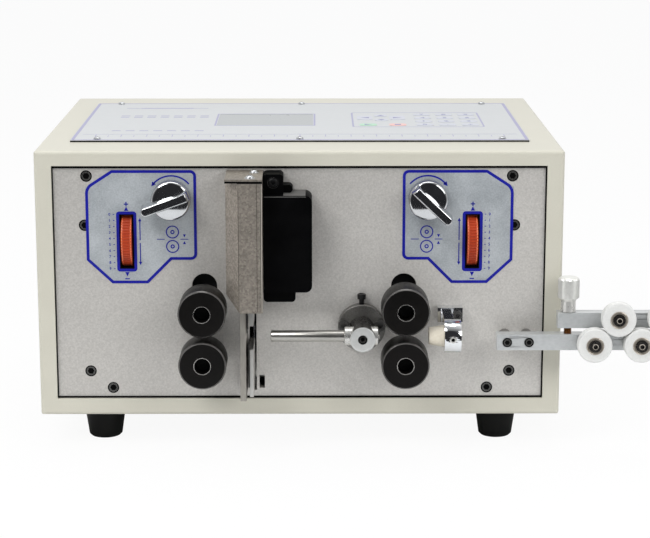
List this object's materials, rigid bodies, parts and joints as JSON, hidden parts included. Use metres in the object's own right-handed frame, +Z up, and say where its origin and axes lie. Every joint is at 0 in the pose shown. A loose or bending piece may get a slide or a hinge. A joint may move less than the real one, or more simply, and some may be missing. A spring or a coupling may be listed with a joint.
{
  "type": "wire cutting and stripping machine",
  "caption": "Bench machine that feeds wire through lifting rollers, cuts and strips it with paired blades and swings a guide tube; straightener at the side.",
  "frame": {"origin": "bottom centre of the whole box, on the plane the feet stand on", "axes": "+X to the right seen from the machine plate, along the wire; +Y towards the back; +Z up"},
  "size_m": [0.5192, 0.349, 0.2352],
  "materials": {
    "case_paint": "fine textured cream powder coat",
    "control_film": "printed matt film",
    "display": "smoked display window",
    "plate_steel": "satin ground plate",
    "dial_film": "silver film with blue print",
    "blackened_steel": "black oxide",
    "steel": "turned bright steel",
    "zinc_steel": "zinc plated",
    "galvanised": "mottled galvanised sheet",
    "chrome": "polished chrome",
    "frame_alloy": "milled aluminium",
    "motor_black": "black motor shell",
    "supply_metal": "folded sheet",
    "board_green": "coated circuit board",
    "roller_rubber": "ground rubber",
    "foot_rubber": "moulded rubber",
    "black_plastic": "grained black plastic",
    "orange_plastic": "moulded orange plastic",
    "nylon": "white nylon",
    "ivory_plastic": "ivory moulded plastic"
  },
  "bodies": {
    "machine": {"case_shell": "case_paint", "rear_panel": "case_paint", "feet": "foot_rubber", "control_panel": "control_film", "display_window": "display", "power_inlet": "black_plastic", "power_supply": "supply_metal", "control_board": "board_green", "front_plate": "plate_steel", "dial_plates": "dial_film", "socket_screws": "blackened_steel", "mechanism_frame": "frame_alloy", "shaft_bearings": "steel", "feed_motors": "motor_black", "gap_wheel_brackets": "steel", "cutter_guard": "galvanised", "cutter_cover": "black_plastic", "cutter_housing": "black_plastic", "blade_guide": "zinc_steel", "cutter_motor": "motor_black", "pivot_flange": "steel", "swing_motor": "motor_black", "inlet_holder": "chrome", "inlet_nozzle": "ivory_plastic", "base_bar": "zinc_steel", "bar_posts": "zinc_steel", "base_axles": "steel"},
    "power_rocker": {"power_rocker": "black_plastic"},
    "left_lower_feed": {"left_lower_roller": "roller_rubber", "left_lower_shaft": "steel"},
    "right_lower_feed": {"right_lower_roller": "roller_rubber", "right_lower_shaft": "steel"},
    "left_carriage": {"left_carriage": "blackened_steel"},
    "right_carriage": {"right_carriage": "blackened_steel"},
    "left_upper_feed": {"left_upper_roller": "roller_rubber", "left_upper_shaft": "steel"},
    "right_upper_feed": {"right_upper_roller": "roller_rubber", "right_upper_shaft": "steel"},
    "left_knob": {"left_knob": "chrome", "left_crank": "steel"},
    "right_knob": {"right_knob": "chrome", "right_crank": "steel"},
    "left_gap_wheel": {"left_gap_wheel": "orange_plastic"},
    "right_gap_wheel": {"right_gap_wheel": "orange_plastic"},
    "cutter_screw": {"cutter_screw": "steel"},
    "upper_cutter": {"upper_blade": "steel", "upper_blade_holder": "zinc_steel"},
    "lower_cutter": {"lower_blade": "steel", "lower_blade_holder": "zinc_steel"},
    "swing_tube": {"swing_hub": "steel", "guide_tube": "zinc_steel"},
    "top_bar": {"top_bar": "zinc_steel", "top_axles": "steel"},
    "left_thumbscrew": {"left_thumbscrew": "steel"},
    "right_thumbscrew": {"right_thumbscrew": "steel"},
    "base_roller_1": {"base_roller_1": "nylon"},
    "base_roller_2": {"base_roller_2": "nylon"},
    "base_roller_3": {"base_roller_3": "nylon"},
    "top_roller_1": {"top_roller_1": "nylon"},
    "top_roller_2": {"top_roller_2": "nylon"}
  },
  "joints": [
    {"name": "power_rocker_tilt", "type": "hinge", "parent": "machine", "child": "power_rocker", "pos_m": [-0.16065, 0.1605, 0.078], "axis": [1, 0, 0], "range_deg": [-9, 9]},
    {"name": "left_knob_turn", "type": "hinge", "parent": "machine", "child": "left_knob", "pos_m": [-0.15665, -0.1325, 0.195], "axis": [0, -1, 0], "range_deg": [-19.8, 70.2]},
    {"name": "left_lift", "type": "slide", "parent": "machine", "child": "left_carriage", "axis": [0, 0, 1], "range_m": [-0.00112, 0.00398]},
    {"name": "left_lower_spin", "type": "hinge", "parent": "machine", "child": "left_lower_feed", "pos_m": [-0.13235, -0.1325, 0.07585], "axis": [0, 1, 0], "continuous": true},
    {"name": "left_upper_spin", "type": "hinge", "parent": "left_carriage", "child": "left_upper_feed", "pos_m": [-0.13235, -0.1325, 0.11547], "axis": [0, 1, 0], "continuous": true},
    {"name": "left_gap_turn", "type": "hinge", "parent": "machine", "child": "left_gap_wheel", "pos_m": [-0.19095, -0.1145, 0.162], "axis": [1, 0, 0], "range_deg": [-50, 50]},
    {"name": "right_knob_turn", "type": "hinge", "parent": "machine", "child": "right_knob", "pos_m": [0.03735, -0.1325, 0.195], "axis": [0, 1, 0], "range_deg": [-43.6, 46.4]},
    {"name": "right_lift", "type": "slide", "parent": "machine", "child": "right_carriage", "axis": [0, 0, 1], "range_m": [-0.00247, 0.00263]},
    {"name": "right_lower_spin", "type": "hinge", "parent": "machine", "child": "right_lower_feed", "pos_m": [0.01975, -0.1325, 0.07585], "axis": [0, 1, 0], "continuous": true},
    {"name": "right_upper_spin", "type": "hinge", "parent": "right_carriage", "child": "right_upper_feed", "pos_m": [0.01975, -0.1325, 0.11682], "axis": [0, 1, 0], "continuous": true},
    {"name": "right_gap_turn", "type": "hinge", "parent": "machine", "child": "right_gap_wheel", "pos_m": [0.07165, -0.1145, 0.162], "axis": [1, 0, 0], "range_deg": [-50, 50]},
    {"name": "cutter_screw_turn", "type": "hinge", "parent": "machine", "child": "cutter_screw", "pos_m": [-0.09565, -0.0995, 0.12], "axis": [0, 0, 1], "range_deg": [-720.1, 360.1]},
    {"name": "upper_blade_slide", "type": "slide", "parent": "machine", "child": "upper_cutter", "axis": [0, 0, -1], "range_m": [-0.01, 0.005]},
    {"name": "lower_blade_slide", "type": "slide", "parent": "machine", "child": "lower_cutter", "axis": [0, 0, 1], "range_m": [-0.01, 0.005]},
    {"name": "tube_swing", "type": "hinge", "parent": "machine", "child": "swing_tube", "pos_m": [-0.01245, -0.1325, 0.096], "axis": [0, 1, 0], "range_deg": [0, 15]},
    {"name": "top_bar_lift", "type": "slide", "parent": "machine", "child": "top_bar", "axis": [0, 0, 1], "range_m": [0, 0.006]},
    {"name": "left_thumb_turn", "type": "hinge", "parent": "top_bar", "child": "left_thumbscrew", "pos_m": [0.14335, -0.149, 0.1088], "axis": [0, 0, 1], "range_deg": [0, 1440.1]},
    {"name": "right_thumb_turn", "type": "hinge", "parent": "top_bar", "child": "right_thumbscrew", "pos_m": [0.25135, -0.149, 0.1088], "axis": [0, 0, 1], "range_deg": [0, 1440.1]},
    {"name": "base_roller_1_spin", "type": "hinge", "parent": "machine", "child": "base_roller_1", "pos_m": [0.16235, -0.1615, 0.0888], "axis": [0, 1, 0], "continuous": true},
    {"name": "base_roller_2_spin", "type": "hinge", "parent": "machine", "child": "base_roller_2", "pos_m": [0.19735, -0.1615, 0.0888], "axis": [0, 1, 0], "continuous": true},
    {"name": "base_roller_3_spin", "type": "hinge", "parent": "machine", "child": "base_roller_3", "pos_m": [0.23235, -0.1615, 0.0888], "axis": [0, 1, 0], "continuous": true},
    {"name": "top_roller_1_spin", "type": "hinge", "parent": "top_bar", "child": "top_roller_1", "pos_m": [0.17985, -0.1615, 0.1088], "axis": [0, 1, 0], "continuous": true},
    {"name": "top_roller_2_spin", "type": "hinge", "parent": "top_bar", "child": "top_roller_2", "pos_m": [0.21485, -0.1615, 0.1088], "axis": [0, 1, 0], "continuous": true}
  ],
  "couplings": [
    {"joint": "left_knob_turn", "follows": "left_lift", "rad_per_m": 307.69},
    {"joint": "left_upper_spin", "follows": "left_lower_spin", "ratio": -1},
    {"joint": "right_knob_turn", "follows": "right_lift", "rad_per_m": 307.69},
    {"joint": "right_upper_spin", "follows": "right_lower_spin", "ratio": -1},
    {"joint": "cutter_screw_turn", "follows": "upper_blade_slide", "rad_per_m": 1256.6},
    {"joint": "lower_blade_slide", "follows": "upper_blade_slide", "ratio": 1},
    {"joint": "left_thumb_turn", "follows": "top_bar_lift", "rad_per_m": 4188.8},
    {"joint": "right_thumb_turn", "follows": "top_bar_lift", "rad_per_m": 4188.8}
  ]
}
